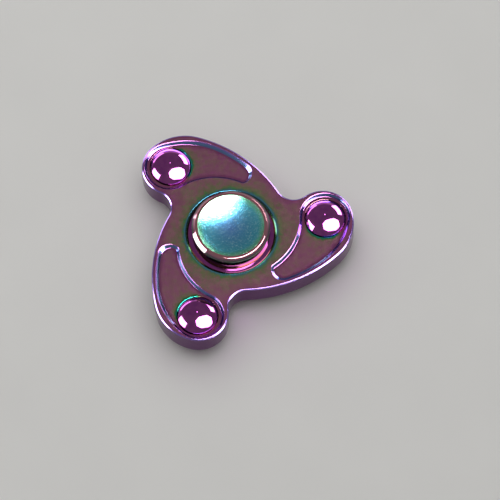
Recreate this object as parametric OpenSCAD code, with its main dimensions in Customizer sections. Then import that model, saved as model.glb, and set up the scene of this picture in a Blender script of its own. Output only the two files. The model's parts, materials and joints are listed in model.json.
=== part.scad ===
// Three-armed fidget spinner: a plated body turning on a shielded ball bearing,
// held between two screwed finger caps, with a domed weight pressed through each arm.
// Millimetres. The spin axis is Z, the bottom cap rests on z = 0, weight 1 lies on +X.

/* [Body] */
// Thickness of the body between its two faces
body_t = 6.4; // [6.2:0.1:7.4]
// Distance of each arm's round end from the spin axis
lobe_x = 23.6; // [23.4:0.1:24]
// Radius of each arm's round end
lobe_r = 7.65; // [7.5:0.05:8]
// Radius of the long convex flank that sweeps from each arm to the next
flank_r = 35.7; // [34:0.1:38]
// Centre of the flank along X, for the arm on +X
flank_x = 5.8; // [5.5:0.1:6.2]
// Centre of the flank along Y, for the arm on +X
flank_y = 18.9; // [18.6:0.1:19.2]
// Radius of the turn that joins a flank to the arm's round end
turn_r = 12.2; // [11:0.1:14]
// Radius of the hollow neck between one arm's end and the next flank
neck_r = 4.6; // [4:0.1:5.4]

/* [Hub well] */
// Radius of the round well sunk in each face round the cap
well_r = 11.2; // [10.8:0.1:11.4]
// Depth of the well
well_depth = 0.8; // [0.7:0.05:0.9]

/* [Pockets] */
// Depth of the comma-shaped pocket in each face of each arm
pocket_depth = 0.7; // [0.5:0.05:0.8]
// Centre of the pocket's round end along X, for the arm on +X
ring_x = 24.2; // [24.1:0.05:24.3]
// Centre of the pocket's round end along Y, for the arm on +X
ring_y = 0.3; // [0:0.05:0.3]
// Radius of the pocket's round end
ring_r = 6.15; // [6.1:0.05:6.3]
// Radius of the pocket's outer side where it leaves the round end
side_r = 18.8; // [17.5:0.1:20]
// Width of the raised rim left between the pocket and the body's flank
rim_w = 1.35; // [1.2:0.05:1.5]
// Radius of the pocket's hollow inner side
wall_r = 16.2; // [15.8:0.1:16.6]
// Distance of that side's centre from the spin axis
wall_d = 4.2; // [4:0.05:4.4]
// Radius of the pocket's narrow end
tail_r = 2.75; // [2.5:0.05:2.9]
// Distance of the narrow end's centre from the spin axis
tail_d = 16.65; // [16.5:0.05:16.9]
// Radius of the corner between the narrow end and the inner side
corner_r = 0.9; // [0.6:0.05:1.1]

/* [Weights] */
// Distance of the weights from the spin axis
weight_x = 24.2; // [24.1:0.05:24.3]
// Radius of each weight
weight_r = 5; // [4.8:0.05:5.1]
// Height of a weight's dome above the pocket floor
dome_h = 2.15; // [1.8:0.05:2.3]
// Straight edge left below each dome
dome_edge = 0.15; // [0.1:0.05:0.3]
// Width of the bevel at each socket's mouth
socket_bevel = 0.5; // [0.3:0.05:0.6]

/* [Bearing] */
// Outside radius, half of half an inch
bearing_r = 6.35; // [6.35]
// Bore radius, half of a quarter inch
bearing_bore_r = 3.175; // [3.175]
// Width, three sixteenths of an inch
bearing_w = 4.762; // [4.762]
// Number of balls
ball_count = 10; // [10]
// Radius of each ball, half of five sixty-fourths of an inch
ball_r = 0.992; // [0.992]
// Radius of the circle the ball centres lie on
ball_pitch_r = 4.7625; // [4.7625]

/* [Caps] */
// Outside radius of each finger cap
cap_r = 9.9; // [9.6:0.05:10]
// Height of a cap's rim above the body's face
cap_rise = 4.2; // [3.8:0.1:4.6]
// Depth of a cap's skirt below the body's face
cap_sink = 0.4; // [0.3:0.05:0.45]
// Rounding at the cap's outer rim
cap_round = 0.85; // [0.4:0.05:0.9]
// Radius of the finger dish
dish_r = 8.45; // [8.2:0.05:8.5]
// Depth of the finger dish
dish_depth = 1.75; // [1.2:0.05:2]
// Radius of the screwed stud that joins the caps, over its thread
stud_r = 1.95; // [1.8:0.05:2]

/* [Hidden] */
$fn = 128;
ball_fn = 32;
arm_count = 3;
arm_step = 360 / arm_count;
arc_step = 5; // degrees between points on the arcs of an outline

// Heights
mid_z = cap_rise + body_t / 2;
web_t = body_t - 2 * well_depth;
cap_h = cap_rise + cap_sink;
floor_half = body_t / 2 - pocket_depth; // from mid height to a pocket floor
skirt_z = body_t / 2 - cap_sink;        // from mid height to a cap's skirt edge
race_z = bearing_w / 2;                 // from mid height to the inner race's face
lap = 1;                                // how far joined solids run into each other, and cuts run past

// Bearing sections
inner_land_r = 4.05;    // shoulder of the inner race
outer_land_r = 5.45;    // shoulder of the outer race
groove_gap = 0.03;      // play between the balls and their grooves
shield_seat_r = 5.8;    // recess for the shields in the outer race
shield_seat_z = 1.95;   // distance from mid width to the seat
shield_in_r = 4.2;
shield_t = 0.2;
clip_in_r = 5.4;
clip_t = 0.2;
clip_gap_angle = 24;
cage_in_r = 4.25;
cage_out_r = 5.25;
cage_low = -1.35;       // the cage's ring, below the balls
cage_high = 0.55;       // the tips of its fingers, above the balls' centres
cage_gap = 0.06;        // play between the balls and the cage

// Cap fittings
boss_r = 3.9;           // shoulder that bears on the inner race
sleeve_gap = 0.02;      // slip fit of the sleeve in the bearing's bore
thread_gap = 0.05;      // play between the stud and the sleeve's bore
sleeve_stop = 0.5;      // gap left above the sleeve, so that the caps clamp the race
stud_stop = 0.4;        // gap left below the stud's end

// The point at distance ra from a and rb from b, on the left when looking from a to b
function meet(a, ra, b, rb) =
    let (d = norm(b - a), u = (b - a) / d, x = (d * d + ra * ra - rb * rb) / (2 * d))
    a + x * u + sqrt(ra * ra - x * x) * [-u[1], u[0]];

// The point of the circle round a, radius r, on its side towards b
function towards(a, r, b) = a + r * (b - a) / norm(b - a);

function spun(p, angle) =
    [p[0] * cos(angle) - p[1] * sin(angle), p[0] * sin(angle) + p[1] * cos(angle)];

// Centres of the body's arcs, each tangent to the next
lobe_c = [lobe_x, 0];
flank_c = [flank_x, flank_y];
next_flank_c = spun(flank_c, arm_step);
turn_c = meet(lobe_c, turn_r - lobe_r, flank_c, flank_r - turn_r);
neck_c = meet(next_flank_c, flank_r + neck_r, lobe_c, lobe_r + neck_r);

// Points where they join, counter-clockwise round the arm on +X
neck_to_flank = towards(next_flank_c, flank_r, neck_c);
flank_from_neck = spun(neck_to_flank, -arm_step);
flank_to_turn = towards(flank_c, flank_r, turn_c);
turn_to_lobe = towards(turn_c, turn_r, lobe_c);
lobe_to_neck = towards(lobe_c, lobe_r, neck_c);

// Centres of the pocket's arcs
ring_c = [ring_x, ring_y];
band_r = flank_r - rim_w;
side_c = meet(ring_c, side_r - ring_r, flank_c, band_r - side_r);
wall_c = meet([0, 0], wall_d, ring_c, ring_r + wall_r);
tail_c = meet(flank_c, band_r - tail_r, [0, 0], tail_d);
corner_c = meet(tail_c, tail_r - corner_r, wall_c, wall_r + corner_r);

// Points where they join
tail_to_band = towards(flank_c, band_r, tail_c);
band_to_side = towards(flank_c, band_r, side_c);
side_to_ring = towards(side_c, side_r, ring_c);
ring_to_wall = towards(ring_c, ring_r, wall_c);
wall_to_corner = towards(wall_c, wall_r, corner_c);
corner_to_tail = towards(tail_c, tail_r, corner_c);

// Points along the circle round c from p up to, but not including, q.
// turn is 1 counter-clockwise and -1 clockwise.
function arc(c, p, q, turn) =
    let (r = norm(p - c),
         start = atan2(p[1] - c[1], p[0] - c[0]),
         end = atan2(q[1] - c[1], q[0] - c[0]),
         sweep = ((end - start) * turn % 360 + 360) % 360,
         count = ceil(sweep / arc_step))
    [for (i = [0 : count - 1])
        let (angle = start + turn * sweep * i / count)
        c + r * [cos(angle), sin(angle)]];

module each_arm() {
    for (k = [0 : arm_count - 1]) rotate(k * arm_step) children();
}

module outline() {
    arm = concat(
        arc(flank_c, flank_from_neck, flank_to_turn, 1),
        arc(turn_c, flank_to_turn, turn_to_lobe, 1),
        arc(lobe_c, turn_to_lobe, lobe_to_neck, 1),
        arc(neck_c, lobe_to_neck, neck_to_flank, -1));
    polygon([for (k = [0 : arm_count - 1]) for (p = arm) spun(p, k * arm_step)]);
}

module pocket_shape() {
    polygon(concat(
        arc(flank_c, tail_to_band, band_to_side, 1),
        arc(side_c, band_to_side, side_to_ring, 1),
        arc(ring_c, side_to_ring, ring_to_wall, 1),
        arc(wall_c, ring_to_wall, wall_to_corner, -1),
        arc(corner_c, wall_to_corner, corner_to_tail, 1),
        arc(tail_c, corner_to_tail, tail_to_band, 1)));
}

// Draws its children, which start at mid height and go up, on both faces
module both_faces() {
    for (side = [0, 1]) translate([0, 0, mid_z]) mirror([0, 0, side]) children();
}

module socket_mouth() {
    translate([weight_x, 0, floor_half - socket_bevel])
        cylinder(h = 2 * socket_bevel, r1 = weight_r, r2 = weight_r + 2 * socket_bevel);
}

module body() {
    color("#5d3f56") difference() {
        translate([0, 0, cap_rise]) linear_extrude(body_t) outline();
        both_faces() translate([0, 0, web_t / 2]) cylinder(h = body_t, r = well_r);
        both_faces() each_arm() translate([0, 0, floor_half]) linear_extrude(body_t) pocket_shape();
        both_faces() each_arm() socket_mouth();
        each_arm() translate([weight_x, 0, 0]) cylinder(h = 2 * mid_z, r = weight_r);
        cylinder(h = 2 * mid_z, r = bearing_r);
    }
}

// One arm's weight: a turned slug with the same shallow dome on both ends
module weight(k) {
    cap = dome_h - dome_edge;
    dome_r = (weight_r * weight_r + cap * cap) / (2 * cap);
    centre = floor_half + dome_h - dome_r;
    half = floor_half + dome_h;
    color("#6a2a6c") rotate(k * arm_step) translate([weight_x, 0, mid_z]) intersection() {
        translate([0, 0, -half]) cylinder(h = 2 * half, r = weight_r);
        translate([0, 0, centre]) sphere(dome_r);
        translate([0, 0, -centre]) sphere(dome_r);
    }
}

// Ball grooves of a race, cut as one torus
module groove() {
    translate([0, 0, mid_z]) rotate_extrude()
        translate([ball_pitch_r, 0]) circle(ball_r + groove_gap, $fn = ball_fn);
}

module ring(inner, outer, low, high) {
    translate([0, 0, mid_z + low]) difference() {
        cylinder(h = high - low, r = outer);
        translate([0, 0, -lap]) cylinder(h = high - low + 2 * lap, r = inner);
    }
}

module bearing_outer_race() {
    color("#b9bcc2") difference() {
        ring(outer_land_r, bearing_r, -bearing_w / 2, bearing_w / 2);
        groove();
        both_faces() translate([0, 0, shield_seat_z]) cylinder(h = bearing_w, r = shield_seat_r);
    }
}

module bearing_inner_race() {
    color("#b9bcc2") difference() {
        ring(bearing_bore_r, inner_land_r, -bearing_w / 2, bearing_w / 2);
        groove();
    }
}

// A place in the ring of balls, counted from 0
module at_ball(i) {
    rotate(i * 360 / ball_count) translate([ball_pitch_r, 0, mid_z]) children();
}

module ball(i) {
    color("#d8dade") at_ball(i) sphere(ball_r, $fn = ball_fn);
}

// Crown cage: a ring under the balls with a finger standing up between each two
module bearing_cage() {
    color("#b08d4a") difference() {
        ring(cage_in_r, cage_out_r, cage_low, cage_high);
        for (i = [0 : ball_count - 1])
            at_ball(i) sphere(ball_r + cage_gap, $fn = ball_fn);
    }
}

module shield() {
    color("#8f9299")
        ring(shield_in_r, shield_seat_r, shield_seat_z, shield_seat_z + shield_t);
}

// Spring ring, open at one side, that holds a shield in its seat
module shield_clip() {
    low = shield_seat_z + shield_t;
    color("#63666c") translate([0, 0, mid_z + low]) rotate(clip_gap_angle / 2)
        rotate_extrude(angle = 360 - clip_gap_angle)
            translate([clip_in_r, 0]) square([shield_seat_r - clip_in_r, clip_t]);
}

// Draws its children turned over about mid height, for the lower pieces
module turned_over() {
    translate([0, 0, mid_z]) mirror([0, 0, 1]) translate([0, 0, -mid_z]) children();
}

// A cap's head, drawn upright with its skirt's edge on z = 0
module cap_head() {
    dish_sphere_r = (dish_r * dish_r + dish_depth * dish_depth) / (2 * dish_depth);
    difference() {
        rotate_extrude() union() {
            square([cap_r - cap_round, cap_h]);
            square([cap_r, cap_h - cap_round]);
            translate([cap_r - cap_round, cap_h - cap_round]) circle(cap_round);
        }
        translate([0, 0, cap_h - dish_depth + dish_sphere_r]) sphere(dish_sphere_r);
    }
}

// Upper cap: head, shoulder on the inner race, and a screwed stud down the middle
module top_cap() {
    stud_low = -race_z + stud_stop;
    color("#4f9a9d") translate([0, 0, mid_z]) union() {
        translate([0, 0, skirt_z]) cap_head();
        translate([0, 0, race_z]) cylinder(h = skirt_z - race_z + lap, r = boss_r);
        translate([0, 0, stud_low]) cylinder(h = skirt_z - stud_low + lap, r = stud_r);
    }
}

// Lower cap: head, shoulder, and the sleeve that lines the bearing and takes the stud
module bottom_cap() {
    sleeve_r = bearing_bore_r - sleeve_gap;
    sleeve_top = race_z - sleeve_stop;
    color("#4f9a9d") difference() {
        turned_over() translate([0, 0, mid_z]) union() {
            translate([0, 0, skirt_z]) cap_head();
            translate([0, 0, race_z]) cylinder(h = skirt_z - race_z + lap, r = boss_r);
            translate([0, 0, -sleeve_top]) cylinder(h = skirt_z + sleeve_top + lap, r = sleeve_r);
        }
        translate([0, 0, mid_z - race_z]) cylinder(h = bearing_w, r = stud_r + thread_gap);
    }
}

body();
weight(0);  // weight_1
weight(1);  // weight_2
weight(2);  // weight_3
top_cap();
bottom_cap();
bearing_outer_race();
bearing_inner_race();
bearing_cage();
shield();  // shield_upper
turned_over() shield();  // shield_lower
shield_clip();  // shield_clip_upper
turned_over() shield_clip();  // shield_clip_lower
ball(0);  // ball_01
ball(1);  // ball_02
ball(2);  // ball_03
ball(3);  // ball_04
ball(4);  // ball_05
ball(5);  // ball_06
ball(6);  // ball_07
ball(7);  // ball_08
ball(8);  // ball_09
ball(9);  // ball_10
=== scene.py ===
"""Looks for the three-armed fidget spinner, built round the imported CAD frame.

Lengths are in millimetres, and are turned to metres when a mesh is made, unless a comment says metres. The
body, the weights and the caps replace their CAD nodes with finely rounded ones; the bearing keeps its own.
"""
import json
import math

import bpy
import numpy as np
from mathutils import Matrix, Vector, geometry


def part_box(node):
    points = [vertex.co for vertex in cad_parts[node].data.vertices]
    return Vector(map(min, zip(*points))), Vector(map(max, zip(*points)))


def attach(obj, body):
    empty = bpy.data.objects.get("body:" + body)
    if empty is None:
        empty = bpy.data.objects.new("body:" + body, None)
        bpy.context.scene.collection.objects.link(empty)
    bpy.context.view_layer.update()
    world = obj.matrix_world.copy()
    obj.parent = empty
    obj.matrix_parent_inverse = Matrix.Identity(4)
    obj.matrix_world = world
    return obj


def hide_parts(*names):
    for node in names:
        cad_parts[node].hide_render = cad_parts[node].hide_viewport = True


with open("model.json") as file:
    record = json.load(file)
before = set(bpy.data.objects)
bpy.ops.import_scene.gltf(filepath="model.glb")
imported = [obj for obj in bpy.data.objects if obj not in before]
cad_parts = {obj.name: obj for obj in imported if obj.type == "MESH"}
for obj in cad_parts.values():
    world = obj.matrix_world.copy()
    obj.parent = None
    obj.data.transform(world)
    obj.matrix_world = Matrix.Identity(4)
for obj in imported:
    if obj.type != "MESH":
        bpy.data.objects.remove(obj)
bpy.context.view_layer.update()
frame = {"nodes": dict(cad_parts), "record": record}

MM = 0.001

# ---------------------------------------------------------------- sizes
ARMS = 3
ARM_STEP = 360.0 / ARMS
ARC_STEP = 1.6            # degrees between the points of an arc

# Arcs of the body's outline, for the arm on +X
LOBE_X, LOBE_R = 23.6, 7.65
FLANK_C, FLANK_R = np.array([5.8, 18.9]), 35.7
TURN_R = 12.2
NECK_R = 4.6

# Arcs of the comma-shaped pocket
RING_C, RING_R = np.array([24.2, 0.3]), 6.15
SIDE_R = 18.8
RIM_W = 1.35
WALL_R, WALL_D = 16.2, 4.2
TAIL_R, TAIL_D = 2.75, 16.65
CORNER_R = 0.9

POCKET_DEPTH = 0.7
HUB_SIDE_SLOPE = math.radians(46.0)     # of a pocket's step
OUTER_SIDE_SLOPE = math.radians(37.0)
STEP_TOP_R, STEP_FOOT_R = 0.22, 0.14
STEP_MARGIN = 0.04        # least flat left between a pocket's step and the body's bevelled edge
LOBE_REACH, LOBE_FADE = 6.7, 3.0      # near a weight the whole step has the hub side's slope
SIDE_FADE = 0.6           # how gradually the hub side's slope becomes the outer side's

SLOPE = math.radians(36.0)      # of the bevels round the body and the well
EDGE_W, EDGE_BEND_R = 0.36, 0.13      # bevel along the body's outer edge, and its rounding
WELL_R, WELL_DEPTH = 11.2, 0.8
WELL_EDGE_W, WELL_BEND_R, WELL_FILLET = 0.42, 0.09, 0.4
WELL_SLOPE = math.radians(9.0)        # the well's floor rises towards the cap
WELL_INNER_R = 9.2        # where it levels out, under the cap
WELL_INNER_STEP = 0.3
SOCKET_EDGE_W, SOCKET_BEND_R, SOCKET_SLOPE = 0.3, 0.08, math.radians(48.0)
SOCKET_PLAY = 0.06        # groove round each weight
BORE_R, BORE_EDGE = 6.35, 0.15
WELL_POINTS, SOCKET_POINTS = 240, 160
FACE_SPACING, FLOOR_SPACING = 0.8, 0.7      # between the points that fill the flats
LEAST_CLEARANCE = 0.45    # from those points to a flat's edges, as a share of their spacing

WEIGHT_X, WEIGHT_R = 24.2, 5.0
DOME_H, DOME_EDGE = 2.15, 0.15
DOME_ROUND = 0.3          # rounding between the dome and the weight's side
PIP_R, PIP_DEPTH = 0.32, 0.045        # turning mark in the middle of a dome
WEIGHT_POINTS, CAP_POINTS = 192, 256

DISH_R, DISH_DEPTH = 8.45, 1.75
LAND_R = 9.0              # outer end of the flat land round the dish
LAND_INNER_GAP = 0.03     # between the dish and the ring that holds the land's colour
SHOULDER_R = 9.86         # outer end of the sloping shoulder; the flank flares from here to the foot
SHOULDER_SLOPE = 40.0     # degrees from level
RIM_BEND_R, SHOULDER_BEND_R = 0.2, 0.15
FOOT_EDGE_R = 0.15
UNDER_R = 3.0             # ring in a cap's flat underside
FOOT_BAND = 1.6           # height of the yellow-green part of the flank
RIM_DROP = 0.3            # depth of the rim's pink part
CAP_SINK = 0.4            # how far a cap's foot lies below the body's face, in the well

# Heights and radii that the frame gives
body_low, body_high = (corner.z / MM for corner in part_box("body"))
MID_Z = (body_low + body_high) / 2
HALF_T = (body_high - body_low) / 2
cap_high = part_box("top_cap")[1] / MM
CAP_R = cap_high.x
CAP_FOOT = MID_Z + HALF_T - CAP_SINK
CAP_HEIGHT = cap_high.z - CAP_FOOT


def step_width(slope):
    """Width, seen from above, of a pocket's step: two bends and the straight bevel between them."""
    bends = STEP_TOP_R + STEP_FOOT_R
    return (POCKET_DEPTH - bends * (1 - np.cos(slope))) / np.tan(slope) + bends * np.sin(slope)


# ---------------------------------------------------------------- plane geometry
def meet(a, ra, b, rb):
    """The point at distance ra from a and rb from b, on the left when looking from a to b."""
    a, b = np.asarray(a, float), np.asarray(b, float)
    d = np.linalg.norm(b - a)
    u = (b - a) / d
    x = (d * d + ra * ra - rb * rb) / (2 * d)
    return a + x * u + math.sqrt(ra * ra - x * x) * np.array([-u[1], u[0]])


def towards(a, r, b):
    return a + r * (b - a) / np.linalg.norm(b - a)


def spun(points, degrees):
    c, s = math.cos(math.radians(degrees)), math.sin(math.radians(degrees))
    return np.asarray(points) @ np.array([[c, s], [-s, c]])


def arc(centre, start, end, turn, inset):
    """Points and outward normals along an arc, moved inwards by inset.

    turn is 1 round a bulge and -1 round a hollow.
    """
    a0 = math.atan2(*(start - centre)[::-1])
    a1 = math.atan2(*(end - centre)[::-1])
    sweep = ((a1 - a0) * turn) % (2 * math.pi)
    count = max(2, math.ceil(math.degrees(sweep) / ARC_STEP))
    angles = a0 + turn * sweep * np.arange(count) / count
    ray = np.stack([np.cos(angles), np.sin(angles)], 1)
    radius = np.linalg.norm(start - centre) - turn * inset
    return centre + radius * ray, turn * ray


def chain(pieces, inset):
    arcs = [arc(*piece, inset) for piece in pieces]
    return np.concatenate([a[0] for a in arcs]), np.concatenate([a[1] for a in arcs])


LOBE_C = np.array([LOBE_X, 0.0])
NEXT_FLANK_C = spun(FLANK_C, ARM_STEP)
TURN_C = meet(LOBE_C, TURN_R - LOBE_R, FLANK_C, FLANK_R - TURN_R)
NECK_C = meet(NEXT_FLANK_C, FLANK_R + NECK_R, LOBE_C, LOBE_R + NECK_R)
NECK_TO_FLANK = towards(NEXT_FLANK_C, FLANK_R, NECK_C)
FLANK_TO_TURN = towards(FLANK_C, FLANK_R, TURN_C)
TURN_TO_LOBE = towards(TURN_C, TURN_R, LOBE_C)
LOBE_TO_NECK = towards(LOBE_C, LOBE_R, NECK_C)

BAND_R = FLANK_R - RIM_W
SIDE_C = meet(RING_C, SIDE_R - RING_R, FLANK_C, BAND_R - SIDE_R)
WALL_C = meet((0, 0), WALL_D, RING_C, RING_R + WALL_R)
TAIL_C = meet(FLANK_C, BAND_R - TAIL_R, (0, 0), TAIL_D)
CORNER_C = meet(TAIL_C, TAIL_R - CORNER_R, WALL_C, WALL_R + CORNER_R)
POCKET_ARCS = [
    (FLANK_C, towards(FLANK_C, BAND_R, TAIL_C), towards(FLANK_C, BAND_R, SIDE_C), 1),
    (SIDE_C, towards(FLANK_C, BAND_R, SIDE_C), towards(SIDE_C, SIDE_R, RING_C), 1),
    (RING_C, towards(SIDE_C, SIDE_R, RING_C), towards(RING_C, RING_R, WALL_C), 1),
    (WALL_C, towards(RING_C, RING_R, WALL_C), towards(WALL_C, WALL_R, CORNER_C), -1),
    (CORNER_C, towards(WALL_C, WALL_R, CORNER_C), towards(TAIL_C, TAIL_R, CORNER_C), 1),
    (TAIL_C, towards(TAIL_C, TAIL_R, CORNER_C), towards(FLANK_C, BAND_R, TAIL_C), 1),
]
ARM_ARCS = [
    (FLANK_C, spun(NECK_TO_FLANK, -ARM_STEP), FLANK_TO_TURN, 1),
    (TURN_C, FLANK_TO_TURN, TURN_TO_LOBE, 1),
    (LOBE_C, TURN_TO_LOBE, LOBE_TO_NECK, 1),
    (NECK_C, LOBE_TO_NECK, NECK_TO_FLANK, -1),
]


def outline(inset=0.0):
    """The whole body's outline, moved inwards: points and outward normals."""
    points, normals = chain(ARM_ARCS, inset)
    turns = [k * ARM_STEP for k in range(ARMS)]
    all_points = np.concatenate([spun(points, t) for t in turns])
    return all_points, np.concatenate([spun(normals, t) for t in turns])


def pocket(k, inset=0.0):
    points, normals = chain(POCKET_ARCS, inset)
    return spun(points, k * ARM_STEP), spun(normals, k * ARM_STEP)


def circle(centre, radius, count):
    angles = 2 * math.pi * np.arange(count) / count
    ray = np.stack([np.cos(angles), np.sin(angles)], 1)
    return np.asarray(centre) + radius * ray, ray


def weight_centre(k):
    return spun([WEIGHT_X, 0.0], k * ARM_STEP)


def distance_to(points, loop):
    """Distance from each point to a closed loop."""
    a, b = loop, np.roll(loop, -1, 0)
    ab = b - a
    out = np.empty(len(points))
    for i, p in enumerate(points):
        t = np.clip(((p - a) * ab).sum(1) / (ab * ab).sum(1), 0, 1)
        out[i] = np.sqrt((((a + t[:, None] * ab) - p) ** 2).sum(1).min())
    return out


def inside(points, loop):
    """Whether each point lies inside a closed loop."""
    a, b = loop, np.roll(loop, -1, 0)
    hits = np.zeros(len(points), int)
    for (ax, ay), (bx, by) in zip(a, b):
        if ay == by:
            continue
        crosses = (points[:, 1] < ay) != (points[:, 1] < by)
        x = ax + (points[:, 1] - ay) * (bx - ax) / (by - ay)
        hits += crosses & (points[:, 0] < x)
    return hits % 2 == 1


def between(points, loops):
    """Whether each point lies inside the first loop and outside the others."""
    keep = inside(points, loops[0])
    for hole in loops[1:]:
        keep &= ~inside(points, hole)
    return keep


def anticlockwise(a, b, c):
    return (b[0] - a[0]) * (c[1] - a[1]) - (b[1] - a[1]) * (c[0] - a[0]) > 0


def fill_points(loops, spacing):
    """A triangular grid of points between an outer loop and its holes, clear of them all."""
    low, high = loops[0].min(0), loops[0].max(0)
    rows = np.arange(low[1], high[1], spacing * math.sqrt(3) / 2)
    columns = np.arange(low[0], high[0], spacing)
    grid = np.array([(x + (k % 2) * spacing / 2, y) for k, y in enumerate(rows) for x in columns])
    grid = grid[between(grid, loops)]
    clearance = np.min([distance_to(grid, loop) for loop in loops], axis=0)
    return grid[clearance > spacing * LEAST_CLEARANCE]


def fill_triangles(loops, points):
    """Anticlockwise triangles between an outer loop and its holes. points starts with the loops' points."""
    edges, start = [], 0
    for loop in loops:
        n = len(loop)
        edges += [(start + i, start + (i + 1) % n) for i in range(n)]
        start += n
    made = geometry.delaunay_2d_cdt([Vector(p) for p in points], edges, [], 0, 1e-7)
    corner = [origins[0] for origins in made[3]]
    triangles = np.array([[corner[i] for i in face] for face in made[2]])
    kept = triangles[between(points[triangles].mean(1), loops)]
    return [t if anticlockwise(*points[t]) else t[::-1] for t in kept]


# ---------------------------------------------------------------- a skin of rings and sheets
class Skin:
    """Collects faces, and vertices with their true normals and three colour values.

    film is the plating's tint. step is how far the colours of steps and bevels replace it. across picks one
    of those colours, and polishes the surface.
    """

    def __init__(self):
        self.co, self.normal, self.faces = [], [], []
        self.values = {"film": [], "step": [], "across": []}

    def add(self, points, normals, film, step=0.0, across=0.0):
        first = len(self.co)
        count = len(points)
        self.co.extend(np.asarray(points, float).tolist())
        self.normal.extend(np.asarray(normals, float).tolist())
        for label, value in (("film", film), ("step", step), ("across", across)):
            self.values[label].extend(np.broadcast_to(value, count).tolist())
        return np.arange(first, first + count)

    def ring(self, loop, z, out, up, film, step=0.0, across=0.0):
        """A loop at height z whose normals lean out by out and up by up."""
        points, normals = loop
        co = np.c_[points, np.full(len(points), z)]
        return self.add(co, np.c_[normals * out, np.full(len(points), up)], film, step, across)

    def loft(self, lower, upper):
        n = len(lower)
        for i in range(n):
            j = (i + 1) % n
            self.faces.append((int(lower[i]), int(lower[j]), int(upper[j]), int(upper[i])))

    def lofts(self, rings):
        for lower, upper in zip(rings, rings[1:]):
            self.loft(lower, upper)

    def sheet(self, outer, holes, spacing, film):
        """Fills the flat between an outer ring and its holes. film gives the new points their film."""
        rings = [outer] + holes
        loops = [np.array([self.co[i][:2] for i in ring]) for ring in rings]
        grid = fill_points(loops, spacing)
        count = len(grid)
        co = np.c_[grid, np.full(count, self.co[outer[0]][2])]
        extra = self.add(co, np.tile((0, 0, 1.0), (count, 1)), film(grid))
        index = np.concatenate(rings + [extra])
        for t in fill_triangles(loops, np.concatenate(loops + [grid])):
            self.faces.append(tuple(int(index[i]) for i in t))

    def mirrored(self):
        """Adds the same skin again below z = 0, turned inside out, and closes the two along z = 0."""
        co, normal = np.array(self.co), np.array(self.normal)
        count = len(co)
        on_seam = np.abs(co[:, 2]) < 1e-9
        twin = np.arange(count)
        extra = np.where(~on_seam)[0]
        twin[extra] = count + np.arange(len(extra))
        self.co += (co[extra] * (1, 1, -1)).tolist()
        self.normal += (normal[extra] * (1, 1, -1)).tolist()
        for values in self.values.values():
            values += [values[i] for i in extra]
        self.faces += [tuple(int(twin[i]) for i in reversed(face)) for face in self.faces]

    def piece(self, name, material, lift=0.0):
        """The finished object. lift raises it, in millimetres."""
        mesh = bpy.data.meshes.new(name)
        mesh.from_pydata([(x * MM, y * MM, (z + lift) * MM) for x, y, z in self.co], [], self.faces)
        mesh.validate()
        for label, values in self.values.items():
            mesh.attributes.new(label, "FLOAT", "POINT").data.foreach_set("value", values)
        mesh.polygons.foreach_set("use_smooth", [True] * len(mesh.polygons))
        normals = np.array(self.normal)
        normals /= np.linalg.norm(normals, axis=1)[:, None]
        mesh.normals_split_custom_set_from_vertices(normals.tolist())
        mesh.materials.append(material)
        made = bpy.data.objects.new(name, mesh)
        bpy.context.scene.collection.objects.link(made)
        return made


def bevel(width, slope, bend_r):
    """A bevelled edge from the face to the wall: (distance from the wall, drop, lean of the normal)."""
    run = width - bend_r * math.sin(slope) - bend_r * (1 - math.sin(slope))
    drop = bend_r * (1 - math.cos(slope)) + run * math.tan(slope) + bend_r * math.cos(slope)
    profile = []
    for t in np.linspace(0, slope, 4):
        profile.append((width - bend_r * math.sin(t), bend_r * (1 - math.cos(t)), t))
    for t in np.linspace(slope, math.pi / 2, 5):
        profile.append((bend_r * (1 - math.sin(t)), drop - bend_r * math.cos(t), t))
    return profile


# ---------------------------------------------------------------- colour values
# film runs from 0, purple, through plum, olive and green to 1, teal
FILM_FLAT = 0.36
POCKET_FILM = -0.04       # of a pocket's floor, against the face
# Strength and reach of the green near the hub and the sockets, and of the purple near edges and walls
HUB_HALO = (0.3, 0.6), (0.2, 3.0)
SOCKET_HALO = (0.2, 0.6), (0.18, 2.0)
EDGE_FADE = 0.2, 1.4
WALL_FADE = 0.16, 0.8
OPEN_FROM, OPEN_OVER = 0.7, 1.3       # distance from a pocket's wall where the floor counts as open
SOCKET_FILM, SOCKET_FILM_OPEN = 0.08, 0.86
EDGE_FILM, EDGE_ACROSS = 0.2, 0.2
WELL_EDGE_FILM, WELL_FILLET_FILM, WELL_FLOOR_FILM = 0.9, 0.1, 0.04
WELL_INNER_FILM, BORE_FILM, SOCKET_WALL_FILM = 0.22, 0.08, 0.06
WELL_UPPER_STEP, WELL_UPPER_LEAN = 0.6, math.radians(30.0)      # the paler upper part of the well's edge
STEP_COLOUR_RISE = 7      # how quickly a pocket's step takes its own colour at its two edges

# On a cap, film picks the colour of each part from CAP_COLOURS
RIM_FILM, SHOULDER_FILM, FLANK_FILM, FOOT_FILM = 0.12, 0.24, 0.38, 0.48
DISH_EDGE_FILM = 0.6      # rising to 1 in the middle of the dish


def fade(distance, strength, reach):
    return strength * np.exp(-distance / reach)


def film_on_face(points):
    """Film on the body's faces: green round the hub, purple at the outer edge."""
    from_hub = np.maximum(np.linalg.norm(points, axis=1) - WELL_R - WELL_EDGE_W, 0)
    from_edge = distance_to(points, outline(EDGE_W)[0])
    halo = fade(from_hub, *HUB_HALO[0]) + fade(from_hub, *HUB_HALO[1])
    return FILM_FLAT + halo - fade(from_edge, *EDGE_FADE)


def open_floor(k, points):
    """0 beside the pocket's wall, 1 where the floor is wide."""
    return np.clip((distance_to(points, pocket(k)[0]) - OPEN_FROM) / OPEN_OVER, 0, 1)


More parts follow.
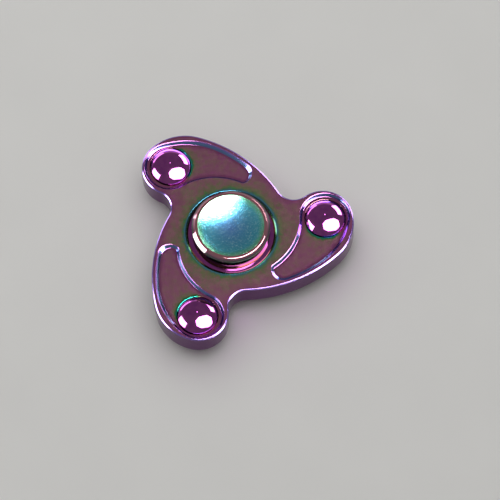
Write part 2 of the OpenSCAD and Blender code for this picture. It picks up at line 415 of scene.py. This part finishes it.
def film_in_pocket(k):
    """A function that gives the film on the floor of pocket k."""
    def film(points):
        from_weight = np.linalg.norm(points - weight_centre(k), axis=1)
        from_socket = np.maximum(from_weight - WEIGHT_R - SOCKET_EDGE_W, 0)
        from_wall = distance_to(points, pocket(k, step_width(HUB_SIDE_SLOPE) / 2)[0])
        halo = fade(from_socket, *SOCKET_HALO[0]) + fade(from_socket, *SOCKET_HALO[1])
        return FILM_FLAT + POCKET_FILM + halo * open_floor(k, points) - fade(from_wall, *WALL_FADE)
    return film


def film_on_socket(k, points):
    return SOCKET_FILM + SOCKET_FILM_OPEN * open_floor(k, points)


# ---------------------------------------------------------------- pieces
def pocket_step(skin, k):
    """The rings of a pocket's bevelled step, from the face down to the floor.

    It gets narrower where it would run into the body's bevelled edge.
    """
    middle, outward = pocket(k)
    from_hub = middle / np.linalg.norm(middle, axis=1)[:, None]
    from_weight = np.linalg.norm(middle - weight_centre(k), axis=1)
    outer_side = np.clip(0.5 + (outward * from_hub).sum(axis=1) / SIDE_FADE, 0, 1)
    outer_side = outer_side * np.clip((from_weight - LOBE_REACH) / LOBE_FADE, 0, 1)
    slope = HUB_SIDE_SLOPE + (OUTER_SIDE_SLOPE - HUB_SIDE_SLOPE) * outer_side
    width = step_width(slope)
    room = distance_to(middle, outline()[0]) - EDGE_W - STEP_MARGIN
    squeeze = np.minimum(1, room / (width / 2))
    parts = np.linspace(0, 1, 6)
    rings = []
    for half, bend_r, sequence in ((1, STEP_TOP_R, parts), (-1, STEP_FOOT_R, parts[::-1])):
        for part in sequence:
            t = part * slope
            away = half * (width / 2 - bend_r * np.sin(t))
            drop = bend_r * (1 - np.cos(t))
            z = HALF_T - (drop if half > 0 else POCKET_DEPTH - drop)
            points = middle + outward * (away * squeeze)[:, None]
            normals = np.c_[-outward * (np.sin(t) / squeeze)[:, None], np.cos(t)]
            across = float(np.mean(0.5 - away / width))
            film = film_on_face(points) if half > 0 else film_in_pocket(k)(points)
            step = min(1, STEP_COLOUR_RISE * across * (1 - across))
            rings.append(skin.add(np.c_[points, z], normals, film, step, across))
    return rings


def edge_rings(skin):
    """The body's side, from mid height, and its bevelled edge."""
    rings = [skin.ring(outline(), 0.0, 1, 0, 0.0)]
    for inset, drop, lean in reversed(bevel(EDGE_W, SLOPE, EDGE_BEND_R)):
        step = 1.0 if 0 < inset < EDGE_W else 0.0
        film = EDGE_FILM * inset / EDGE_W
        out, up = math.sin(lean), math.cos(lean)
        rings.append(skin.ring(outline(inset), HALF_T - drop, out, up, film, step, EDGE_ACROSS))
    return rings


def socket_rings(skin, k):
    """The bevelled edge of a weight's socket, and its wall down to mid height."""
    floor = HALF_T - POCKET_DEPTH
    wall_r = WEIGHT_R + SOCKET_PLAY
    film = film_on_socket(k, circle(weight_centre(k), wall_r + SOCKET_EDGE_W, SOCKET_POINTS)[0])
    rings = []
    for away, drop, lean in bevel(SOCKET_EDGE_W, SOCKET_SLOPE, SOCKET_BEND_R):
        loop = circle(weight_centre(k), wall_r + away, SOCKET_POINTS)
        rings.append(skin.ring(loop, floor - drop, -math.sin(lean), math.cos(lean), film, 0.0, 1.0))
    loop = circle(weight_centre(k), wall_r, SOCKET_POINTS)
    rings.append(skin.ring(loop, 0.0, -1, 0, SOCKET_WALL_FILM))
    return rings


def well_rings(skin):
    """The well round the hub: its bevelled edge, its floor, and the bearing's bore down to mid height."""
    rings = []

    def ring(r, z, out, up, film, step=0.0, across=0.0):
        rings.append(skin.ring(circle((0, 0), r, WELL_POINTS), z, out, up, film, step, across))

    for away, drop, lean in bevel(WELL_EDGE_W, SLOPE, WELL_BEND_R):
        step = 1.0 if lean > WELL_UPPER_LEAN else WELL_UPPER_STEP
        ring(WELL_R + away, HALF_T - drop, -math.sin(lean), math.cos(lean), WELL_EDGE_FILM, step, 0.5)
    for lean in np.linspace(math.pi / 2, -WELL_SLOPE, 11):
        r = WELL_R - WELL_FILLET * (1 - math.sin(lean))
        z = HALF_T - WELL_DEPTH + WELL_FILLET * (1 - math.cos(lean))
        ring(r, z, -math.sin(lean), math.cos(lean), WELL_FILLET_FILM, 0.0, 1.0)
    inner_z = z + (r - WELL_INNER_R) * math.tan(WELL_SLOPE)
    ring(WELL_INNER_R, inner_z, math.sin(WELL_SLOPE), math.cos(WELL_SLOPE), WELL_FLOOR_FILM, 0.0, 1.0)
    for r in (WELL_INNER_R - WELL_INNER_STEP, BORE_R + BORE_EDGE):
        ring(r, inner_z, 0, 1, WELL_INNER_FILM)
    ring(BORE_R, inner_z - BORE_EDGE, -1, 0.3, BORE_FILM)
    ring(BORE_R, 0.0, -1, 0, BORE_FILM)
    return rings


def make_body(material):
    skin = Skin()
    edge = edge_rings(skin)
    skin.lofts(edge)
    pocket_edges = []
    for k in range(ARMS):
        step = pocket_step(skin, k)
        skin.lofts(step)
        pocket_edges.append(step[0])
        socket = socket_rings(skin, k)
        skin.lofts(socket)
        skin.sheet(step[-1], [socket[0]], FLOOR_SPACING, film_in_pocket(k))
    well = well_rings(skin)
    skin.lofts(well)
    skin.sheet(edge[-1], pocket_edges + [well[0]], FACE_SPACING, film_on_face)
    skin.mirrored()
    return skin.piece("body_shell", material, MID_Z)


def turned(name, profile, material, around):
    """A turned piece. Its profile of (r, z, normal out, normal up, film) starts and ends on the axis."""
    skin = Skin()
    rings = []
    for r, z, out, up, film in profile:
        if r > 0:
            rings.append(skin.ring(circle((0, 0), r, around), z, out, up, film))
        else:
            rings.append(skin.add([(0, 0, z)], [(0, 0, up)], film))
    for lower, upper in zip(rings, rings[1:]):
        if len(upper) > 1 and len(lower) > 1:
            skin.loft(lower, upper)
            continue
        for i in range(around):
            j = (i + 1) % around
            if len(upper) == 1:
                skin.faces.append((int(lower[i]), int(lower[j]), int(upper[0])))
            else:
                skin.faces.append((int(lower[0]), int(upper[j]), int(upper[i])))
    return skin.piece(name, material)


def dome_profile():
    """Half of a weight's profile, from mid height up to the middle of its dome."""
    rise = DOME_H - DOME_EDGE
    radius = (WEIGHT_R ** 2 + rise ** 2) / (2 * rise)
    top = HALF_T - POCKET_DEPTH + DOME_H
    round_c = WEIGHT_R - DOME_ROUND
    lip = math.asin(round_c / (radius - DOME_ROUND))
    round_z = top - radius + (radius - DOME_ROUND) * math.cos(lip)
    points = [(WEIGHT_R, 0.0, 1, 0, 0)]
    for a in np.linspace(math.pi / 2, lip, 7):
        out, up = math.sin(a), math.cos(a)
        points.append((round_c + DOME_ROUND * out, round_z + DOME_ROUND * up, out, up, 0))
    for a in np.linspace(lip, math.asin(PIP_R / radius), 40)[1:]:
        out, up = math.sin(a), math.cos(a)
        points.append((radius * out, top - radius * (1 - up), out, up, 0))
    pip_top = points[-1][1]
    for u in (0.7, 0.4, 0.15):
        slope = -2 * PIP_DEPTH * math.sin(math.pi * u) / PIP_R
        points.append((PIP_R * u, pip_top - PIP_DEPTH * (1 + math.cos(math.pi * u)) / 2, slope, 1, 0))
    points.append((0.0, pip_top - PIP_DEPTH, 0, 1, 0))
    return points


def make_weight(k, material):
    top = dome_profile()
    below = [(r, -z, out, -up, film) for r, z, out, up, film in reversed(top)][:-1]
    made = turned(f"domed_weight_{k + 1}", below + top, material, WEIGHT_POINTS)
    x, y = weight_centre(k)
    made.data.transform(Matrix.Translation((x * MM, y * MM, MID_Z * MM)))
    return made


def turn_arc(centre_r, centre_z, radius, first, last, count):
    """Points of a profile's arc: (r, z, out, up). Its normals lean from first to last degrees."""
    points = []
    for t in np.radians(np.linspace(first, last, count)):
        out, up = math.sin(t), math.cos(t)
        points.append((centre_r + radius * out, centre_z + radius * up, out, up))
    return points


def cap_side():
    """A cap's outside from the middle of its underside to its dish, and the height of its shoulder's foot."""
    slope = math.radians(SHOULDER_SLOPE)
    rim_r = LAND_R + RIM_BEND_R * math.sin(slope)
    rim_z = CAP_HEIGHT - RIM_BEND_R * (1 - math.cos(slope))
    shoulder_z = rim_z - (SHOULDER_R - rim_r) * math.tan(slope)
    bend_z = shoulder_z - SHOULDER_BEND_R * math.cos(slope)
    bend_r = SHOULDER_R - SHOULDER_BEND_R * math.sin(slope)
    flare = CAP_R - bend_r - SHOULDER_BEND_R
    lean = 90 - math.degrees(math.atan2(flare, bend_z))
    flank_out, flank_up = math.sin(math.radians(lean)), math.cos(math.radians(lean))
    points = [(0.0, 0.0, 0, -1), (UNDER_R, 0.0, 0, -1)]
    points += turn_arc(CAP_R - FOOT_EDGE_R, FOOT_EDGE_R, FOOT_EDGE_R, 180, lean, 8)
    points.append((CAP_R - flare * FOOT_BAND / bend_z, FOOT_BAND, flank_out, flank_up))
    points += turn_arc(bend_r, bend_z, SHOULDER_BEND_R, lean, SHOULDER_SLOPE, 7)
    points += turn_arc(LAND_R, CAP_HEIGHT - RIM_BEND_R, RIM_BEND_R, SHOULDER_SLOPE, 0, 7)
    points.append((DISH_R + LAND_INNER_GAP, CAP_HEIGHT, 0, 1))
    return points, shoulder_z


def cap_film(z, shoulder_z):
    """Film on a cap's outside, by height."""
    near = 0.01
    if z > CAP_HEIGHT - RIM_DROP:
        return RIM_FILM
    if z > shoulder_z + near:
        return SHOULDER_FILM
    return FLANK_FILM if z > FOOT_BAND - near else FOOT_FILM


def cap_profile():
    """A cap's head from the middle of its underside, up its flank and shoulder, to the middle of its dish."""
    points, shoulder_z = cap_side()
    rows = [(r, z, out, up, cap_film(z, shoulder_z)) for r, z, out, up in points]
    sphere_r = (DISH_R ** 2 + DISH_DEPTH ** 2) / (2 * DISH_DEPTH)
    for t in np.linspace(math.asin(DISH_R / sphere_r), 0, 56):
        r = sphere_r * math.sin(t)
        z = CAP_HEIGHT - DISH_DEPTH + sphere_r * (1 - math.cos(t))
        film = DISH_EDGE_FILM + (1 - DISH_EDGE_FILM) * (1 - r / DISH_R)
        rows.append((r if t > 0 else 0.0, z, -math.sin(t), math.cos(t), film))
    return rows


def make_cap(name, upside_down, material):
    made = turned(name, cap_profile(), material, CAP_POINTS)
    made.data.transform(Matrix.Translation((0, 0, CAP_FOOT * MM)))
    if upside_down:
        turn = Matrix.Translation((0, 0, MID_Z * MM)) @ Matrix.Rotation(math.pi, 4, "X")
        made.data.transform(turn @ Matrix.Translation((0, 0, -MID_Z * MM)))
    return made


# ---------------------------------------------------------------- materials
def srgb(red, green, blue):
    """A colour given as 0 to 255 screen values, in the linear light that shaders use."""
    def linear(v):
        v /= 255
        return v / 12.92 if v <= 0.04045 else ((v + 0.055) / 1.055) ** 2.4
    return (linear(red), linear(green), linear(blue), 1.0)


class Nodes:
    """A short way to write a material's nodes."""

    def __init__(self, name):
        self.material = bpy.data.materials.new(name)
        self.material.use_nodes = True
        self.tree = self.material.node_tree
        self.tree.nodes.clear()
        self.shader = self.node("ShaderNodeBsdfPrincipled")
        out = self.node("ShaderNodeOutputMaterial")
        self.tree.links.new(self.shader.outputs[0], out.inputs[0])

    def node(self, kind, **settings):
        made = self.tree.nodes.new(kind)
        for key, value in settings.items():
            setattr(made, key, value)
        return made

    def wire(self, source, target):
        self.tree.links.new(source, target)

    def colour(self, source):
        self.wire(source, self.shader.inputs["Base Color"])

    def roughness(self, source):
        self.wire(source, self.shader.inputs["Roughness"])

    def value(self, label):
        return self.node("ShaderNodeAttribute", attribute_name=label).outputs["Fac"]

    def noise(self, scale, detail=2.0, rough=0.5):
        """Cloudy noise from 0 to 1, with about scale clouds in a metre."""
        place = self.node("ShaderNodeTexCoord").outputs["Object"]
        made = self.node("ShaderNodeTexNoise")
        self.wire(place, made.inputs["Vector"])
        made.inputs["Scale"].default_value = scale
        made.inputs["Detail"].default_value = detail
        made.inputs["Roughness"].default_value = rough
        return made.outputs["Fac"]

    def math(self, operation, *sources):
        made = self.node("ShaderNodeMath", operation=operation)
        for socket, source in zip(made.inputs, sources):
            if isinstance(source, (int, float)):
                socket.default_value = source
            else:
                self.wire(source, socket)
        return made.outputs[0]

    def span(self, source, low, high):
        """Maps 0..1 to low..high."""
        return self.math("ADD", self.math("MULTIPLY", source, high - low), low)

    def ramp(self, source, stops):
        made = self.node("ShaderNodeValToRGB")
        self.wire(source, made.inputs[0])
        elements = made.color_ramp.elements
        while len(elements) > 1:
            elements.remove(elements[-1])
        for i, (place, colour) in enumerate(stops):
            element = elements[0] if i == 0 else elements.new(place)
            element.position = place
            element.color = colour
        return made.outputs["Color"]

    def mix(self, factor, a, b):
        made = self.node("ShaderNodeMix", data_type="RGBA")
        for socket, source in ((made.inputs[0], factor), (made.inputs[6], a), (made.inputs[7], b)):
            if isinstance(source, (int, float, tuple)):
                socket.default_value = source
            else:
                self.wire(source, socket)
        return made.outputs[2]

    def bump(self, height, strength, distance):
        """Fine relief of the surface. distance is in metres."""
        made = self.node("ShaderNodeBump")
        made.inputs["Strength"].default_value = strength
        made.inputs["Distance"].default_value = distance
        self.wire(height, made.inputs["Height"])
        self.wire(made.outputs[0], self.shader.inputs["Normal"])

    def set(self, **values):
        for key, value in values.items():
            self.shader.inputs[key.replace("_", " ")].default_value = value


# Colours of the body's plating by film, of its steps and bevels by across, and of the caps by film
FILM_COLOURS = [
    (0.00, srgb(95, 45, 100)),
    (0.06, srgb(150, 70, 150)),
    (0.20, srgb(168, 96, 140)),
    (0.38, srgb(165, 118, 128)),
    (0.55, srgb(140, 135, 105)),
    (0.72, srgb(80, 150, 95)),
    (0.88, srgb(55, 165, 140)),
    (1.00, srgb(60, 190, 180)),
]
STEP_COLOURS = [
    (0.00, srgb(190, 100, 170)),
    (0.15, srgb(150, 110, 185)),
    (0.40, srgb(115, 135, 200)),
    (0.65, srgb(85, 155, 195)),
    (0.88, srgb(110, 130, 195)),
    (1.00, srgb(190, 100, 165)),
]
CAP_COLOURS = [
    (0.00, srgb(205, 150, 155)),
    (0.12, srgb(200, 140, 150)),
    (0.24, srgb(175, 125, 150)),
    (0.30, srgb(125, 112, 120)),
    (0.38, srgb(118, 118, 112)),
    (0.46, srgb(128, 146, 60)),
    (0.50, srgb(128, 146, 60)),
    (0.56, srgb(150, 150, 120)),
    (0.62, srgb(110, 190, 155)),
    (0.67, srgb(82, 178, 198)),
    (1.00, srgb(100, 150, 215)),
]
# Pale blue-white painted into the dish in specks: painted glints, standing in for light caught by its grain
DISH_GLINT_PAINT = srgb(190, 225, 240)
DISH_FROM = 0.57          # on a cap, more film than this is the dish
PATCHES = 1.35            # how far the body's tint strays; it is felt most at a film of 0.5
EDGE_POLISH = 0.65        # how much smoother the body is where across is 1
CAP_ROUGHNESS = 0.07
STEEL_SHADE, STEEL_GRAIN = 0.8, 0.12


def body_plating():
    n = Nodes("body_plating")
    film = n.value("film")
    spread = n.math("MULTIPLY", film, n.math("SUBTRACT", 1.0, film))
    patch = n.math("MULTIPLY", n.span(n.noise(scale=700, detail=5, rough=0.65), -PATCHES, PATCHES), spread)
    tint = n.ramp(n.math("ADD", film, patch), FILM_COLOURS)
    step = n.value("step")
    n.colour(n.mix(step, tint, n.ramp(n.value("across"), STEP_COLOURS)))
    n.set(Metallic=1.0)
    polish = n.math("SUBTRACT", 1.0, n.math("MULTIPLY", n.value("across"), EDGE_POLISH))
    n.roughness(n.math("MULTIPLY", n.span(n.noise(scale=900, detail=4), 0.14, 0.26), polish))
    n.bump(n.noise(scale=4200, detail=3), strength=0.25, distance=0.00002)
    return n.material


def weight_plating():
    n = Nodes("weight_plating")
    cloud = n.noise(scale=500, detail=3)
    n.colour(n.ramp(cloud, [(0.3, srgb(150, 70, 150)), (0.7, srgb(170, 90, 160))]))
    n.set(Metallic=1.0)
    n.roughness(n.span(n.noise(scale=2500, detail=4), 0.03, 0.10))
    return n.material


def cap_plating():
    n = Nodes("cap_plating")
    film = n.value("film")
    patch = n.span(n.noise(scale=350, detail=3), -0.03, 0.03)
    dish = n.math("GREATER_THAN", film, DISH_FROM)
    # Painted glints: where the fine noise is high, the dish's colour is pushed towards a pale blue-white
    painted_glints = n.math("MULTIPLY", dish, n.span(n.noise(scale=3600), -2.6, 2.2))
    tint = n.ramp(n.math("ADD", film, patch), CAP_COLOURS)
    n.colour(n.mix(painted_glints, tint, DISH_GLINT_PAINT))
    n.set(Metallic=1.0, Specular_Tint=(0.5, 0.48, 0.45, 1.0))
    grain = n.span(n.noise(scale=3000, detail=3), 0.16, 0.28)
    in_dish = n.math("MULTIPLY", dish, grain)
    elsewhere = n.math("MULTIPLY", n.math("SUBTRACT", 1.0, dish), CAP_ROUGHNESS)
    n.roughness(n.math("ADD", in_dish, elsewhere))
    n.bump(n.math("MULTIPLY", dish, n.noise(scale=4200, detail=3)), strength=1.0, distance=0.000033)
    return n.material


def steel(name, colour, rough):
    n = Nodes(name)
    darker = tuple(v * STEEL_SHADE for v in colour[:3]) + (1.0,)
    n.colour(n.mix(n.noise(scale=1500, detail=3), colour, darker))
    n.set(Metallic=1.0)
    n.roughness(n.span(n.noise(scale=6000, detail=3), rough, rough + STEEL_GRAIN))
    return n.material


# ---------------------------------------------------------------- build
body = make_body(body_plating())
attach(body, "rotor")
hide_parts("body")

weight_material = weight_plating()
for k in range(ARMS):
    weight = make_weight(k, weight_material)
    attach(weight, "rotor")
    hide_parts(f"weight_{k + 1}")

cap_material = cap_plating()
for name, node, upside_down in (("cap_upper", "top_cap", False), ("cap_lower", "bottom_cap", True)):
    cap = make_cap(name, upside_down, cap_material)
    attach(cap, "caps")
    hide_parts(node)

STEELS = {
    "race_steel": (srgb(200, 202, 206), 0.12),
    "ball_steel": (srgb(225, 227, 230), 0.04),
    "cage_steel": (srgb(186, 182, 172), 0.25),
    "shield_steel": (srgb(172, 174, 180), 0.2),
    "clip_steel": (srgb(112, 114, 120), 0.22),
}
steels = {slot: steel(slot, colour, rough) for slot, (colour, rough) in STEELS.items()}
for entry in frame["record"]["subparts"]:
    if entry["material_slot"] in steels:
        node = frame["nodes"][entry["node"]]
        node.data.materials.clear()
        node.data.materials.append(steels[entry["material_slot"]])


# ---------------------------------------------------------------- floor, camera and lights
FLOOR_HALF = 3.0          # metres


def make_floor():
    mesh = bpy.data.meshes.new("floor")
    corners = [(x * FLOOR_HALF, y * FLOOR_HALF, 0) for x, y in ((-1, -1), (1, -1), (1, 1), (-1, 1))]
    mesh.from_pydata(corners, [], [(0, 1, 2, 3)])
    floor = bpy.data.objects.new("floor", mesh)
    bpy.context.scene.collection.objects.link(floor)
    n = Nodes("floor_card")
    n.set(Roughness=1.0, Specular_IOR_Level=0.0)
    n.colour(n.mix(n.noise(scale=40), srgb(226, 225, 222), srgb(232, 231, 228)))
    mesh.materials.append(n.material)


# The camera looks down at 66 degrees. Azimuth is measured from -Y towards +X.
TILT = math.radians(24.0)
AZIMUTH = math.radians(-8.66)
ROLL = math.radians(1.09)
VIEW_WIDTH = 126.6
CAMERA_AWAY = 1500.0
SENSOR_WIDTH = 36.0
CLIP_END = 10.0           # metres
AIM_RIGHT, AIM_UP = 4.79, -4.48       # from the hub, in the picture's plane

right = Vector((math.cos(AZIMUTH), math.sin(AZIMUTH), 0))
front = Vector((math.sin(AZIMUTH), -math.cos(AZIMUTH), 0))
back_up = (front * math.sin(TILT) + Vector((0, 0, math.cos(TILT)))).normalized()
level_up = back_up.cross(right)
image_right = right * math.cos(ROLL) - level_up * math.sin(ROLL)
image_up = right * math.sin(ROLL) + level_up * math.cos(ROLL)
hub_top = Vector((0, 0, body_high))


def make_camera():
    data = bpy.data.cameras.new("camera")
    data.sensor_width = SENSOR_WIDTH
    data.lens = SENSOR_WIDTH * CAMERA_AWAY / VIEW_WIDTH
    data.clip_end = CLIP_END
    camera = bpy.data.objects.new("camera", data)
    bpy.context.scene.collection.objects.link(camera)
    place = hub_top + image_right * AIM_RIGHT + image_up * AIM_UP + back_up * CAMERA_AWAY
    turn = Matrix((image_right, image_up, back_up)).transposed().to_4x4()
    camera.matrix_world = Matrix.Translation(place * MM) @ turn
    bpy.context.scene.camera = camera


def seen(side, towards_camera, up):
    """A direction from the spinner, given as seen from the camera."""
    return right * side + front * towards_camera + Vector((0, 0, up))


LIGHT_AWAY = 0.7          # metres
FLOOR_LIGHT, FLOOR_LIGHT_SIZE = 0.95, 80.0      # radiance, and degrees from side to side


def make_floor_light():
    """A square light overhead for the floor. The metal doesn't reflect it."""
    data = bpy.data.lights.new("floor_light", "AREA")
    data.shape = "RECTANGLE"
    data.size = data.size_y = 2 * LIGHT_AWAY * math.tan(math.radians(FLOOR_LIGHT_SIZE / 2))
    data.energy = FLOOR_LIGHT * math.pi * data.size * data.size_y
    made = bpy.data.objects.new("floor_light", data)
    bpy.context.scene.collection.objects.link(made)
    made.visible_glossy = False
    z = seen(-0.1, -0.3, 1.0).normalized()
    x = Vector((0, 0, 1)).cross(z).normalized()
    turn = Matrix((x, z.cross(x), z)).transposed().to_4x4()
    made.matrix_world = Matrix.Translation(z * LIGHT_AWAY) @ turn


def glow(name, radiance):
    material = bpy.data.materials.new(name)
    material.use_nodes = True
    tree = material.node_tree
    tree.nodes.clear()
    emission = tree.nodes.new("ShaderNodeEmission")
    emission.inputs["Strength"].default_value = radiance
    tree.links.new(emission.outputs[0], tree.nodes.new("ShaderNodeOutputMaterial").inputs[0])
    return material


def panel_shape(cut):
    """A panel's outline between -1 and 1 both ways. cut is the share of half a side lost at each corner."""
    if cut == 0:
        return [(1, -1), (1, 1), (-1, 1), (-1, -1)]
    keep = 1 - cut
    right_half = [(keep, -1), (1, -keep), (1, keep), (keep, 1)]
    left_half = [(-u, -v) for u, v in right_half]
    return right_half[1:] + left_half + right_half[:1]


def panel(name, bearing, height, wide, tall, roll, radiance, cut=0.0):
    """A flat bright panel that only the metal reflects.

    All angles are in degrees, from the spinner. A bearing of 0 is towards the camera, 90 to its right.
    """
    b, h, r = math.radians(bearing), math.radians(height), math.radians(roll)
    way = seen(math.sin(b) * math.cos(h), math.cos(b) * math.cos(h), math.sin(h))
    level = seen(math.cos(b), -math.sin(b), 0)
    rise = seen(-math.sin(b) * math.sin(h), -math.cos(b) * math.sin(h), math.cos(h))
    across = (level * math.cos(r) + rise * math.sin(r)) * math.tan(math.radians(wide / 2))
    along = (rise * math.cos(r) - level * math.sin(r)) * math.tan(math.radians(tall / 2))
    corners = [(way + across * u + along * v) * LIGHT_AWAY for u, v in panel_shape(cut)]
    mesh = bpy.data.meshes.new(name)
    mesh.from_pydata(corners, [], [tuple(range(len(corners)))])
    made = bpy.data.objects.new(name, mesh)
    bpy.context.scene.collection.objects.link(made)
    made.visible_camera = made.visible_diffuse = made.visible_shadow = False
    mesh.materials.append(glow(name, radiance))


# The room as the metal reflects it: a dark ceiling, and a paler band low down behind the spinner
CEILING = 0.25
LOW_BAND, LOW_BAND_TOP = 1.0, 0.2
LOW_BAND_SIDES = 0.6      # its share of brightness at the sides
BEHIND = seen(-0.5, -0.87, 0)


def make_world():
    world = bpy.data.worlds.new("room")
    bpy.context.scene.world = world
    world.use_nodes = True
    tree = world.node_tree

    def add(kind, operation, *sources):
        made = tree.nodes.new(kind)
        made.operation = operation
        for socket, source in zip(made.inputs, sources):
            if isinstance(source, (int, float, tuple)):
                socket.default_value = source
            else:
                tree.links.new(source, socket)
        return made.outputs["Value"]

    way = tree.nodes.new("ShaderNodeTexCoord").outputs["Generated"]
    height = add("ShaderNodeVectorMath", "DOT_PRODUCT", way, (0, 0, 1))
    behind = add("ShaderNodeVectorMath", "DOT_PRODUCT", way, tuple(BEHIND))
    low = add("ShaderNodeMath", "SUBTRACT", 1.0, add("ShaderNodeMath", "DIVIDE", height, LOW_BAND_TOP))
    low = add("ShaderNodeMath", "MINIMUM", 1.0, add("ShaderNodeMath", "MAXIMUM", 0.0, low))
    side = add("ShaderNodeMath", "MULTIPLY_ADD", behind, 1 - LOW_BAND_SIDES, LOW_BAND_SIDES)
    band = add("ShaderNodeMath", "MULTIPLY", add("ShaderNodeMath", "MULTIPLY", low, side), LOW_BAND)
    level = add("ShaderNodeMath", "ADD", band, CEILING)
    tree.links.new(level, tree.nodes["Background"].inputs["Strength"])
    tree.nodes["Background"].inputs["Color"].default_value = (1, 1, 1, 1)


make_floor()
make_camera()
panel("key", bearing=60, height=60, wide=65, tall=45, roll=-45, radiance=20.0, cut=0.5)
panel("side_left", bearing=-85, height=25, wide=40, tall=20, roll=30, radiance=14.0)
panel("back_right", bearing=140, height=15, wide=35, tall=16, roll=-20, radiance=14.0)
panel("back_left", bearing=-145, height=5, wide=35, tall=8, roll=5, radiance=5.0)
make_floor_light()
make_world()
bpy.context.scene.view_settings.view_transform = "Standard"
